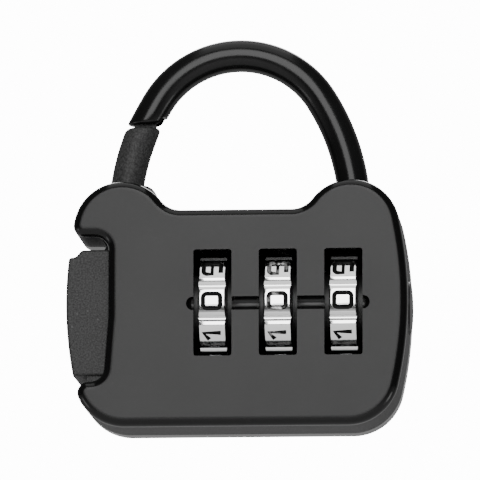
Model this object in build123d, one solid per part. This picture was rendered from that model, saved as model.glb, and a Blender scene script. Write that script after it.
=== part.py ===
from build123d import *
import math
import os

# A small gate padlock with a three-wheel combination.  Millimetres.
# +X is to the right, +Y is to the back and +Z is up.  The origin is on the flat bottom, under the
# shackle and halfway between the front and back faces.

# Body outline, seen from the front
HALF_WIDTH = 20.0          # at the middle of the bowed sides
BOW_Z = 14.75              # height of the widest place
BOW_R = 45.0               # radius of the bowed sides
CORNER_R = 6.0             # bottom corners
EAR_R = 5.7                # round ears that carry the shackle and the gate
EAR_TOP_Z = 28.85
SHOULDER_R = 3.0           # hollow corner between an ear and the flat top
TOP_Z = 25.45

# Body depth
FRONT_Y = -6.7
SEAM_Y = 2.3
BACK_Y = 6.7
PLATE_T = 1.3              # front plate
BACK_T = 0.8               # back plate
WALL_T = 1.4               # side walls
EDGE_R = 1.1               # rounding of the outer edges
LEFT_CORNER = ((-20.4, -11.6), (-4.4, 4.4))    # solid places, as x and z pairs
RIGHT_CORNER = ((16.9, 27.1), (-3.0, 7.0))
RIGHT_EAR = ((9.8, 30.2), (21.8, 41.8))
GUIDE_X = -11.7            # small round guide beside the gate's slot
GUIDE_Z = 27.9
GUIDE_R = 1.75
GUIDE_BACK_Y = 4.4

# Number wheels
WHEEL_X0 = -2.72
WHEEL_PITCH = 7.63
WHEEL_NAMES = ("left", "middle", "right")
AXIS_Y = -1.2
AXIS_Z = 14.4
WHEEL_R = 6.75
NOTCH_R = 6.25
DIGITS = 10
TILE_HALF_DEG = 11.5
RIM_HALF = 1.65            # half the width of the numbered rim
HUB_R = 3.9
HUB_HALF = 3.2
WINDOW_W = 4.45
WINDOW_H = 12.5
WINDOW_R = 0.3
INDEX_R = 0.8              # round index groove across the windows
INDEX_Z = 14.3
INDEX_X = (-5.0, 14.8)

# Clutch sleeves, one inside each wheel
SLEEVE_R = 2.9
SLEEVE_BORE = 2.2
RUN_GAP = 0.05             # radial gap of a running fit
RIB_TIP_R = 3.3
RIB_W = 0.7
RIB_X = (1.9, 2.8)         # ribs' place along the sleeve, from the wheel's centre
CLEAR_X = (-0.6, 1.7)      # wheel's wide bore, where the ribs turn free
FLANGE_X = (-0.3, 0.4)     # inner flange that blocks the spindle
LUG_X = (-1.2, -0.5)       # spindle's lug, just short of the flange
LUG_R = 2.1
LUG_W = 1.0
SPINDLE_R = 1.3
CLIP_R = 1.95
CLIP_BORE = 1.0

# Gate and side lever, one piece on one pin
PIVOT_X = -15.6
PIVOT_Z = 4.2
PIN_R = 0.8
KNUCKLE_R = 1.9
LEVER_HALF_Y = 5.2
LEVER_IN_X = -14.6         # inner face of the lever
LEVER_Z = (6.1, 20.95)
LEVER_STEP_X = (-18.9, -18.2)   # small step at the lever's top
LEVER_STEP_H = 0.85
LEVER_EDGE_R = 0.35
GATE_R = 1.95
GATE_TOP_Z = 35.9
GATE_EDGE_R = 0.6
GATE_Z = (26.3, 37.0)      # the gate's arc, from its foot to above its top
TONGUE_X = (-12.1, -10.1)
TONGUE_HALF_Y = 0.8
TONGUE_H = 0.7
ARM_HALF_Y = 1.9
ARM_OUTER = ((-17.3, 19.0), (-15.05, 22.7), (-15.0, 27.2))
ARM_INNER = ((-11.4, 27.2), (-11.7, 23.2), (-13.4, 20.5), (-14.6, 18.2))
NOTCH_Z = (5.35, 22.4)      # side opening of the body round the lever
NOTCH_X = -14.97
NOTCH_FLARE = 0.6          # the opening's inner wall leans out below NOTCH_BEND_Z
NOTCH_BEND_Z = 13.0
NOTCH_CORNER_R = 1.6
NOTCH_MOUTH_R = 1.3
SLOT_X = (-15.75, -6.2)     # slot in the left ear, where the gate swings
SLOT_HALF_Y = 2.25

# Shackle
BAR_R = 1.9
ARCH_R = 11.3
ARCH_Z = 33.28
LEG_R = 26.0
LEG_TURN_DEG = 32.0        # where the arch passes into the legs, above the horizontal
TIP_Z = 36.1
TIP_EDGE_R = 0.45
CUP_X = (-12.5, -6.0)      # slot in the tip, for the gate's tongue
CUP_HALF_Y = 1.1
CUP_DEPTH = 0.85
ROOT_PIN_R = 0.75
PIN_Z = 25.2               # cross pin through the root
ROOT_Z = 22.2

# Reset button on the right side
BUTTON_HALF_Z = 3.0
BUTTON_HALF_Y = 3.9
BUTTON_Y = -0.5
BUTTON_PROUD = 0.2
BUTTON_GAP = 0.15
STEM_BORE = 2.0

# Inner frame
FRAME_T = 0.8
FRAME_Z = (3.4, 4.1)       # base strip
FRAME_HALF_Y = 4.1
FRAME_END_X = -11.4
UPRIGHT_Y = (-5.25, 4.9)
UPRIGHT_TOP_Z = 18.6
END_TOP_Z = 17.4           # the left end plate stays below the swinging arm
CLIP_X = (FRAME_END_X + FRAME_T + 0.05, FRAME_END_X + FRAME_T + 0.4)
WASHER_T = 0.3

# Rivets: x, z of each
RIVETS = ((-17.2, 24.6), (17.2, 23.4), (17.75, 5.4), (-12.5, 2.6))
RIVET_R = 0.6
RIVET_HEAD_R = 1.05
RIVET_HEAD_H = 0.45

wheel_xs = [WHEEL_X0 + i * WHEEL_PITCH for i in range(3)]
leg_drop = LEG_R - ARCH_R
leg_x = leg_drop * math.cos(math.radians(LEG_TURN_DEG))       # leg arcs' centres, either side
leg_z = ARCH_Z - leg_drop * math.sin(math.radians(LEG_TURN_DEG))
root_x = LEG_R - leg_x
upright_xs = [x - WHEEL_PITCH / 2 for x in wheel_xs] + [wheel_xs[-1] + WHEEL_PITCH / 2]


def block(x, y, z):
    """A box from its three (low, high) pairs."""
    size = [b - a for a, b in (x, y, z)]
    return Pos(x[0], y[0], z[0]) * Box(*size, align=(Align.MIN,) * 3)


def slab(face, y0, y1):
    """A flat shape drawn in X and Z, made solid from depth y0 to depth y1."""
    return extrude(Plane.XZ.offset(-y1) * face, y1 - y0)


def rod_x(radius, x0, x1, y=AXIS_Y, z=AXIS_Z):
    """A round bar along X."""
    return Pos((x0 + x1) / 2, y, z) * Rot(0, 90, 0) * Cylinder(radius, x1 - x0)


def rod_y(radius, y0, y1, x, z):
    """A round bar along Y."""
    return Pos(x, (y0 + y1) / 2, z) * Rot(90, 0, 0) * Cylinder(radius, y1 - y0)


def rod_z(radius, z0, z1, x, y):
    """A round bar along Z."""
    return Pos(x, y, (z0 + z1) / 2) * Cylinder(radius, z1 - z0)


def arc(centre, radius, start_deg, end_deg):
    """An arc about a centre, from one angle to another, anticlockwise when end is larger."""
    return CenterArc(centre, radius, start_deg, end_deg - start_deg)


def angle(a, b):
    """Direction from point a to point b, in degrees."""
    return math.degrees(math.atan2(b[1] - a[1], b[0] - a[0]))


def outline():
    """The body's outline: flat bottom, bowed sides, round ears and a flat top between them."""
    bow = (HALF_WIDTH - BOW_R, BOW_Z)
    corner_dz = CORNER_R - BOW_Z
    corner = (bow[0] + math.sqrt((BOW_R - CORNER_R) ** 2 - corner_dz**2), CORNER_R)
    ear_z = EAR_TOP_Z - EAR_R
    ear = (bow[0] + math.sqrt((BOW_R - EAR_R) ** 2 - (ear_z - BOW_Z) ** 2), ear_z)
    shoulder_z = TOP_Z + SHOULDER_R
    reach = math.sqrt((EAR_R + SHOULDER_R) ** 2 - (shoulder_z - ear_z) ** 2)
    shoulder = (ear[0] - reach, shoulder_z)
    edges = Line((0, 0), (corner[0], 0))
    edges += arc(corner, CORNER_R, -90, angle(bow, corner))
    edges += arc(bow, BOW_R, angle(bow, corner), angle(bow, ear))
    edges += arc(ear, EAR_R, angle(bow, ear), angle(ear, shoulder))
    edges += arc(shoulder, SHOULDER_R, angle(shoulder, ear), -90)
    edges += Line((shoulder[0], TOP_Z), (0, TOP_Z))
    edges += mirror(edges, Plane.YZ)
    return make_face(edges)


def side_notch():
    """The opening in the left side, where the lever sits."""
    low, high = NOTCH_Z
    inner = [(NOTCH_X, high), (NOTCH_X, NOTCH_BEND_Z), (NOTCH_X - NOTCH_FLARE, low)]
    points = [(-24, high), *inner, (-24, low)]
    return make_face(Polyline(*points, close=True))


def shell_blank(y0, y1, rim_y):
    """A shell's solid blank, with the lever's opening and the outer rim at depth rim_y rounded."""
    body = slab(outline() - side_notch(), y0, y1)
    low, high = NOTCH_Z
    corners = (
        (NOTCH_X, high, NOTCH_CORNER_R),
        (NOTCH_X - NOTCH_FLARE, low, NOTCH_CORNER_R),
        (-19.4, high, NOTCH_MOUTH_R),
        (-19.0, low, NOTCH_MOUTH_R),
    )
    for x, z, radius in corners:
        place = (x, (y0 + y1) / 2, z)
        corner = body.edges().filter_by(Axis.Y).sort_by_distance(place)[0]
        body = fillet(corner, radius)
    rim = body.faces().filter_by(Axis.Y).sort_by_distance((0, rim_y, AXIS_Z))[0]
    return fillet(rim.edges(), EDGE_R)


def panel(x, z):
    """A flat rectangle from its (low, high) pairs across and up."""
    middle = Pos((x[0] + x[1]) / 2, (z[0] + z[1]) / 2)
    return middle * Rectangle(x[1] - x[0], z[1] - z[0])


def chamber():
    """The hollow of the two shells, as a flat shape: inside the walls, clear of the solid corners."""
    shape = offset(outline(), -WALL_T)
    shape -= panel((-50, SLOT_X[0]), (-15, 45))
    shape -= panel((-30, 30), (TOP_Z - WALL_T, 60))
    for place in (RIGHT_EAR, RIGHT_CORNER, LEFT_CORNER):
        shape -= panel(*place)
    shape += Pos(PIVOT_X, PIVOT_Z) * Circle(KNUCKLE_R + 0.2)
    shape += Pos(PIVOT_X, PIVOT_Z + 1.5) * Rectangle(2 * KNUCKLE_R + 0.4, 3)
    return shape


def button_outline(grow=0.0):
    """The reset button's oval, standing across X."""
    return Plane.YZ * Pos(BUTTON_Y, AXIS_Z) * Ellipse(BUTTON_HALF_Y + grow, BUTTON_HALF_Z + grow)


def button_hole():
    """The way through the right wall for the reset button."""
    return Pos(16.9, 0, 0) * extrude(button_outline(BUTTON_GAP), 5)


def rivet_cuts():
    """Holes for the four rivets, with countersinks in the back face."""
    cuts = []
    for x, z in RIVETS:
        cuts.append(rod_y(RIVET_R + 0.02, FRONT_Y + 5, BACK_Y + 0.1, x, z))
        sink = Cone(RIVET_HEAD_R + 0.02, RIVET_R + 0.02, RIVET_HEAD_H)
        cuts.append(Pos(x, BACK_Y - RIVET_HEAD_H / 2, z) * Rot(90, 0, 0) * sink)
    return cuts


def shackle_path():
    """The shackle's centre line, from its root in the right ear over to the open tip."""
    right, left = (-leg_x, leg_z), (leg_x, leg_z)
    tip = 180 - math.degrees(math.asin((TIP_Z - 1.5 - leg_z) / LEG_R))
    path = Line((root_x, ROOT_Z), (root_x, leg_z))
    path += arc(right, LEG_R, 0, LEG_TURN_DEG)
    path += arc((0, ARCH_Z), ARCH_R, LEG_TURN_DEG, 180 - LEG_TURN_DEG)
    path += arc(left, LEG_R, 180 - LEG_TURN_DEG, tip)
    return Plane.XZ * path


def shackle_bar(radius):
    """A round bar along the shackle's centre line."""
    return sweep(Pos(root_x, 0, ROOT_Z) * Circle(radius), path=shackle_path())


def shackle():
    """The fixed arch: pinned in the right ear, its open tip cut level and slotted for the gate."""
    bar = shackle_bar(BAR_R)
    bar -= block((-16, 0), (-4, 4), (TIP_Z - 6, TIP_Z))
    tip_face = bar.faces().sort_by_distance((-11, 0, TIP_Z))[0]
    bar = fillet(tip_face.edges(), TIP_EDGE_R)
    bar -= block(CUP_X, (-CUP_HALF_Y, CUP_HALF_Y), (TIP_Z - 1, TIP_Z + CUP_DEPTH))
    bar -= rod_y(ROOT_PIN_R + 0.03, -3, 3, root_x, PIN_Z)
    return bar


def front_shell():
    """The front half: face plate, side walls, windows, index groove and the two ears."""
    body = shell_blank(FRONT_Y, SEAM_Y, FRONT_Y)
    body -= slab(chamber(), FRONT_Y + PLATE_T, SEAM_Y + 1)
    window = fillet(Rectangle(WINDOW_W, WINDOW_H).vertices(), WINDOW_R)
    for x in wheel_xs:
        body -= slab(Pos(x, AXIS_Z) * window, FRONT_Y - 1, FRONT_Y + 3)
    groove = rod_x(INDEX_R, *INDEX_X, FRONT_Y, INDEX_Z)
    for x in INDEX_X:
        groove += Pos(x, FRONT_Y, INDEX_Z) * Sphere(INDEX_R)
    body -= groove
    body -= block(SLOT_X, (-SLOT_HALF_Y, SEAM_Y + 1), (NOTCH_Z[1] - 1, 31))
    body -= shackle_bar(BAR_R + 0.02)
    body -= rod_y(ROOT_PIN_R + 0.02, -4.0, SEAM_Y + 1, root_x, PIN_Z)
    body -= rod_y(PIN_R + 0.02, FRONT_Y + 0.6, 0, PIVOT_X, PIVOT_Z)
    body -= button_hole()
    for cut in rivet_cuts():
        body -= cut
    return body


def rear_cover():
    """The back half, riveted on, with a small guide beside the gate's slot."""
    body = shell_blank(SEAM_Y, BACK_Y, BACK_Y)
    body += slab(Pos(GUIDE_X, GUIDE_Z) * Circle(GUIDE_R), SEAM_Y, GUIDE_BACK_Y)
    body -= slab(chamber(), SEAM_Y - 1, BACK_Y - BACK_T)
    body -= rod_y(PIN_R + 0.02, 0, BACK_Y - 0.4, PIVOT_X, PIVOT_Z)
    body -= button_hole()
    for cut in rivet_cuts():
        body -= cut
    return body


def cover_rivets():
    """Four countersunk rivets that hold the rear cover, flush with its face."""
    rivets = []
    for x, z in RIVETS:
        rivet = rod_y(RIVET_R, FRONT_Y + 5.1, BACK_Y - 0.02, x, z)
        head = Cone(RIVET_HEAD_R, RIVET_R, RIVET_HEAD_H)
        rivet += Pos(x, BACK_Y - 0.02 - RIVET_HEAD_H / 2, z) * Rot(90, 0, 0) * head
        rivets.append(rivet)
    return Compound(children=rivets)


def shackle_pin():
    """The cross pin that keeps the shackle's root in the right ear."""
    return rod_y(ROOT_PIN_R, -3.9, SEAM_Y - 0.05, root_x, PIN_Z)


def gate():
    """The round gate that closes the shackle's mouth, with the tongue that enters its tip."""
    start, end = [math.degrees(math.asin((z - leg_z) / LEG_R)) for z in GATE_Z]
    path = Plane.XZ * arc((leg_x, leg_z), LEG_R, 180 - start, 180 - end)
    foot = path @ 0
    profile = Plane(origin=foot, z_dir=path % 0) * Circle(GATE_R)
    bar = sweep(profile, path=path)
    bar -= block((-18, 0), (-4, 4), (GATE_TOP_Z, 42))
    top = bar.faces().sort_by(Axis.Z)[-1]
    bar = fillet(top.edges(), GATE_EDGE_R)
    tongue_y = (-TONGUE_HALF_Y, TONGUE_HALF_Y)
    bar += block(TONGUE_X, tongue_y, (GATE_TOP_Z - 1, GATE_TOP_Z + TONGUE_H))
    return bar


def gate_lever():
    """The swinging piece: side lever, pivot knuckle, arm through the ear, and gate."""
    low, high = LEVER_Z
    step = high - LEVER_STEP_H
    points = [(-21, step), (LEVER_STEP_X[0], step), (LEVER_STEP_X[1], high)]
    points += [(LEVER_IN_X, high), (LEVER_IN_X, low), (-21, low)]
    paddle = make_face(Polyline(*points, close=True))
    paddle &= Pos(BOW_R - HALF_WIDTH, BOW_Z) * Circle(BOW_R)
    body = slab(paddle, -LEVER_HALF_Y, LEVER_HALF_Y)
    faces = body.faces().sort_by(Axis.Y)
    body = fillet(faces[0].edges() + faces[-1].edges(), LEVER_EDGE_R)
    neck = Pos(PIVOT_X, PIVOT_Z) * Circle(KNUCKLE_R)
    neck += Pos(PIVOT_X, PIVOT_Z + 1.3) * Rectangle(2 * KNUCKLE_R, 2.6)
    body += slab(neck, -LEVER_HALF_Y + 0.3, LEVER_HALF_Y - 0.3)
    gap = Pos(PIVOT_X, PIVOT_Z) * Circle(KNUCKLE_R + 0.1)
    body -= slab(gap, -1.6, 1.6)
    body -= rod_y(PIN_R + 0.05, -6, 6, PIVOT_X, PIVOT_Z)
    arm = make_face(Polyline(*ARM_OUTER, *ARM_INNER, close=True))
    body += slab(arm, -ARM_HALF_Y, ARM_HALF_Y)
    return body + gate()


def gate_pivot_pin():
    """The pin that the gate lever swings on, held in both shells."""
    return rod_y(PIN_R, FRONT_Y + 0.65, BACK_Y - 0.45, PIVOT_X, PIVOT_Z)


def coil(radius, wire, length, turns):
    """A coil spring on the Z axis, from its base upwards."""
    path = Helix(pitch=length / turns, height=length, radius=radius)
    profile = Plane(origin=path @ 0, z_dir=path % 0) * Circle(wire / 2)
    return sweep(profile, path=path, is_frenet=True)


def gate_spring():
    """The torsion spring that shuts the gate: a coil on the pivot pin between the knuckles."""
    return Pos(PIVOT_X, 1.2, PIVOT_Z) * Rot(90, 0, 0) * coil(1.2, 0.4, 2.4, 4)


def spindle():
    """The sliding spindle: three lugs that pass the sleeves' slots only at the right numbers."""
    left, right = LEVER_IN_X + 0.12, 15.5
    body = rod_x(SPINDLE_R, left + SPINDLE_R, right)
    body += Pos(left + SPINDLE_R, AXIS_Y, AXIS_Z) * Sphere(SPINDLE_R)
    for x in wheel_xs:
        lug_y = (AXIS_Y - LUG_W / 2, AXIS_Y + LUG_W / 2)
        lug = block((x + LUG_X[0], x + LUG_X[1]), lug_y, (AXIS_Z, AXIS_Z + LUG_R + 1))
        body += lug & rod_x(LUG_R, x - 3, x + 3)
    groove = rod_x(SPINDLE_R + 1, *CLIP_X) - rod_x(CLIP_BORE - 0.02, *CLIP_X)
    return body - groove


def spindle_clip():
    """The open retaining ring in the spindle's groove, which stops it against the end plate."""
    ring = rod_x(CLIP_R, CLIP_X[0] + 0.02, CLIP_X[1] - 0.02)
    ring -= rod_x(CLIP_BORE, FRAME_END_X, 0)
    mouth = block((FRAME_END_X, 0), (AXIS_Y - 0.7, AXIS_Y + 0.7), (AXIS_Z - 3, AXIS_Z))
    return ring - mouth


def thrust_washer():
    """The washer between the reset spring and the left sleeve."""
    end = wheel_xs[0] - WHEEL_PITCH / 2
    ring = rod_x(SLEEVE_R, end - WASHER_T, end)
    return ring - rod_x(SPINDLE_R + 0.15, end - 1, end + 1)


def sleeve(x):
    """A clutch sleeve: outer ribs that lock into its wheel and an inner flange with one slot."""
    body = rod_x(SLEEVE_R, x - WHEEL_PITCH / 2 + 0.04, x + WHEEL_PITCH / 2 - 0.04)
    for i in range(DIGITS):
        rib = block((x + RIB_X[0], x + RIB_X[1]), (-RIB_W / 2, RIB_W / 2), (2.5, RIB_TIP_R))
        turn = Pos(0, AXIS_Y, AXIS_Z) * Rot(360 / DIGITS * i, 0, 0)
        body += turn * rib
    body -= rod_x(SLEEVE_BORE, x - 5, x + FLANGE_X[0])
    body -= rod_x(SLEEVE_BORE, x + FLANGE_X[1], x + 5)
    body -= rod_x(SPINDLE_R + RUN_GAP, x - 5, x + 5)
    slot_half = LUG_W / 2 + 0.15
    slot = block((x - 2, x + 2), (AXIS_Y - slot_half, AXIS_Y + slot_half), (AXIS_Z, AXIS_Z + 3))
    return body - (slot & rod_x(SLEEVE_BORE, x - 3, x + 3))


def wheel_outline():
    """The rim's outline: ten number faces with a V notch between each two."""
    edges = []
    step = 360 / DIGITS
    for i in range(DIGITS):
        middle = 180 + step * i
        start, end = middle - TILE_HALF_DEG, middle + TILE_HALF_DEG
        face = arc((0, 0), WHEEL_R, start, end)
        notch = Vector(NOTCH_R, 0).rotate(Axis.Z, middle + step / 2)
        following = Vector(WHEEL_R, 0).rotate(Axis.Z, middle + step - TILE_HALF_DEG)
        edges += [face, Line(face @ 1, notch), Line(notch, following)]
    return make_face(edges)


def number_wheel(x):
    """A number wheel: notched rim, hub, and an inner spline that its sleeve's ribs fit."""
    rim = Pos(x - RIM_HALF, AXIS_Y, AXIS_Z) * extrude(Plane.YZ * wheel_outline(), 2 * RIM_HALF)
    bevel = Pos(x, AXIS_Y, AXIS_Z) * Rot(0, 90, 0) * Cylinder(WHEEL_R, 2 * RIM_HALF)
    bevel = chamfer(bevel.edges().filter_by(GeomType.CIRCLE), 0.3, 0.2)
    body = (rim & bevel) + rod_x(HUB_R, x - HUB_HALF, x + HUB_HALF)
    body -= rod_x(SLEEVE_R + RUN_GAP, x - 5, x + 5)
    body -= rod_x(RIB_TIP_R + 0.2, x + CLEAR_X[0], x + CLEAR_X[1])
    half = RIB_W / 2 + 0.08
    for i in range(DIGITS):
        groove = block((x + CLEAR_X[1] - 0.1, x + 4), (-half, half), (2.4, RIB_TIP_R + 0.1))
        body -= Pos(0, AXIS_Y, AXIS_Z) * Rot(360 / DIGITS * i, 0, 0) * groove
    return body


def inner_frame():
    """The folded frame between the wheels: a base strip and five uprights that carry the sleeves."""
    end = upright_xs[-1] + FRAME_T / 2
    body = block((FRAME_END_X, end), (-FRAME_HALF_Y, FRAME_HALF_Y), FRAME_Z)
    for x in upright_xs:
        body += block((x - FRAME_T / 2, x + FRAME_T / 2), UPRIGHT_Y, (FRAME_Z[0], UPRIGHT_TOP_Z))
        body -= rod_x(SLEEVE_R + RUN_GAP, x - 1, x + 1)
    body += block((FRAME_END_X, FRAME_END_X + FRAME_T), UPRIGHT_Y, (FRAME_Z[0], END_TOP_Z))
    body -= rod_x(SPINDLE_R + RUN_GAP, FRAME_END_X - 1, FRAME_END_X + 2)
    for x in upright_xs[1:3]:
        body -= block((x - 1, x + 1), (1.5, 2.4), (FRAME_Z[1], FRAME_Z[1] + 0.3))
    for x in wheel_xs:
        body -= rod_z(0.5, FRAME_Z[0] - 1, FRAME_Z[1] + 1, x, 3.0)
    return body


def detent_spring():
    """The leaf spring under the wheels: one strip and three fingers that click in the notches."""
    thick, low = 0.2, FRAME_Z[1] + 0.02
    strip = block((wheel_xs[0] - 2.4, wheel_xs[-1] + 2.4), (1.6, 3.8), (low, low + thick))
    for x in upright_xs[1:3]:
        strip -= block((x - FRAME_T / 2 - 0.1, x + FRAME_T / 2 + 0.1), (2.3, 5), (low - 1, low + 1))
    for x in wheel_xs:
        side = [(2.0, low), (-3.6, low + 2.2), (-1.2, low + 3.6), (-0.95, low + 3.45)]
        side += [(-3.0, low + 2.25), (2.0, low + thick)]
        profile = Plane.YZ * make_face(Polyline(*side, close=True))
        strip += Pos(x - 0.7, 0, 0) * extrude(profile, 1.4)
        strip -= rod_z(0.5, low - 1, low + 1, x, 3.0)
    return strip


def detent_rivets():
    """Three small rivets that hold the leaf spring down on the frame."""
    low, high = FRAME_Z
    rivets = []
    for x in wheel_xs:
        rivet = rod_z(0.45, low - 0.3, high + 0.5, x, 3.0)
        rivet += rod_z(0.8, low - 0.35, low - 0.05, x, 3.0)
        rivet += rod_z(0.8, high + 0.27, high + 0.55, x, 3.0)
        rivets.append(rivet)
    return Compound(children=rivets)


def reset_button():
    """The oval push button in the right side, with the hollow stem that pushes the sleeves."""
    head = Pos(18.0, 0, 0) * extrude(button_outline(), 5)
    head &= Pos(HALF_WIDTH + BUTTON_PROUD - BOW_R, 0, BOW_Z) * Rot(90, 0, 0) * Cylinder(BOW_R, 30)
    stem = rod_x(SLEEVE_R, wheel_xs[-1] + WHEEL_PITCH / 2 + 0.04, 18.2)
    return head + stem - rod_x(STEM_BORE, 10, 19.2)


def spindle_spring():
    """The coil spring between the spindle's end and the reset button."""
    return Pos(15.7, AXIS_Y, AXIS_Z) * Rot(0, 90, 0) * coil(1.5, 0.35, 3.3, 4)


def reset_spring():
    """The coil spring round the spindle that pushes the sleeves back to the right."""
    start = FRAME_END_X + FRAME_T + 0.22
    length = wheel_xs[0] - WHEEL_PITCH / 2 - WASHER_T - 0.22 - start
    return Pos(start, AXIS_Y, AXIS_Z) * Rot(0, 90, 0) * coil(2.35, 0.4, length, 3)


def export(name, shape):
    """Writes one sub-part to its own file."""
    export_step(shape, f"parts/{name}.step")


os.makedirs("parts", exist_ok=True)
for make in (
    front_shell,
    rear_cover,
    cover_rivets,
    shackle,
    shackle_pin,
    gate_lever,
    gate_pivot_pin,
    gate_spring,
    inner_frame,
    spindle,
    spindle_clip,
    spindle_spring,
    thrust_washer,
    reset_spring,
    reset_button,
    detent_spring,
    detent_rivets,
):
    export(make.__name__, make())
for side, x in zip(WHEEL_NAMES, wheel_xs):
    export(f"number_wheel_{side}", number_wheel(x))
    export(f"clutch_sleeve_{side}", sleeve(x))
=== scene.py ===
"""The looks of a small gate padlock with a three-wheel combination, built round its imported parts.

Sizes are in millimetres and in the lock's own frame: +X to the right, +Y to the back, +Z up, with
the origin on the flat bottom. A piece becomes metres when it is finished.
"""

from __future__ import annotations

import logging
import math
from collections.abc import Callable, Sequence
from dataclasses import dataclass
from enum import Enum
from functools import partial

import bmesh
import bpy
from mathutils import Matrix, Vector

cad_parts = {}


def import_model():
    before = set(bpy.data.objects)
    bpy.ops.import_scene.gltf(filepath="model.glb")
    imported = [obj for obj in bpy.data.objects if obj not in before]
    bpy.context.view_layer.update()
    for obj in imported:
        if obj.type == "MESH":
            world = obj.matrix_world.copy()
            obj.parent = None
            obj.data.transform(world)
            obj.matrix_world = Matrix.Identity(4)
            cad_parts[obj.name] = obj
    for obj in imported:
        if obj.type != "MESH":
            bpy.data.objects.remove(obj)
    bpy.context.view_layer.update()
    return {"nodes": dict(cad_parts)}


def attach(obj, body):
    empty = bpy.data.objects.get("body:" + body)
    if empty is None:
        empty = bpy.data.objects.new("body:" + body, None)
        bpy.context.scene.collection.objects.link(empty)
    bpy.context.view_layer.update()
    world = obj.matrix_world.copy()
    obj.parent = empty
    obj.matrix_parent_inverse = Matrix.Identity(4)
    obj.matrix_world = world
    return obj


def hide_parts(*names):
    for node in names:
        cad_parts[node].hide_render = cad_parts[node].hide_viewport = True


LOG = logging.getLogger("padlock")
MM = 0.001
Pair = tuple[float, float]
Test = Callable[[Vector], bool]
WELD = 1e-4  # points closer than this are one point
NEAR = 1e-3  # how near a point lies to what it is on
CLEAR = 0.02  # how far a cutter reaches past what it cuts
FAR = 60.0  # past the lock on every side


# --- shader building


class Value:
    """A shader socket that Python's operators turn into Math nodes."""

    def __init__(self, graph: Graph, socket: bpy.types.NodeSocket) -> None:
        """Keeps the socket and the graph that it belongs to."""
        self.graph = graph
        self.socket = socket

    def _math(self, operation: str, *terms: Value | float) -> Value:
        """Adds one Math node.

        Args:
            operation: the node's operation.
            terms: its inputs, in order.

        Returns:
            The node's result.
        """
        return self.graph.add("ShaderNodeMath", {"operation": operation}, dict(enumerate(terms)))

    def __add__(self, other: Value | float) -> Value:
        """Sum."""
        return self._math("ADD", self, other)

    __radd__ = __add__

    def __sub__(self, other: Value | float) -> Value:
        """Difference."""
        return self._math("SUBTRACT", self, other)

    def __rsub__(self, other: float) -> Value:
        """Difference, reflected."""
        return self._math("SUBTRACT", other, self)

    def __mul__(self, other: Value | float) -> Value:
        """Product."""
        return self._math("MULTIPLY", self, other)

    __rmul__ = __mul__

    def ramp(self, low: float, high: float) -> Value:
        """Rises smoothly from 0 at low to 1 at high, or falls if high is the smaller."""
        spread = {"Value": self, "From Min": low, "From Max": high}
        settings = {"clamp": True, "interpolation_type": "SMOOTHSTEP"}
        return self.graph.add("ShaderNodeMapRange", settings, spread)

    def either(self, other: Value) -> Value:
        """The larger of two values."""
        return self._math("MAXIMUM", self, other)

    def size(self) -> Value:
        """The value without its sign."""
        return self._math("ABSOLUTE", self)


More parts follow.
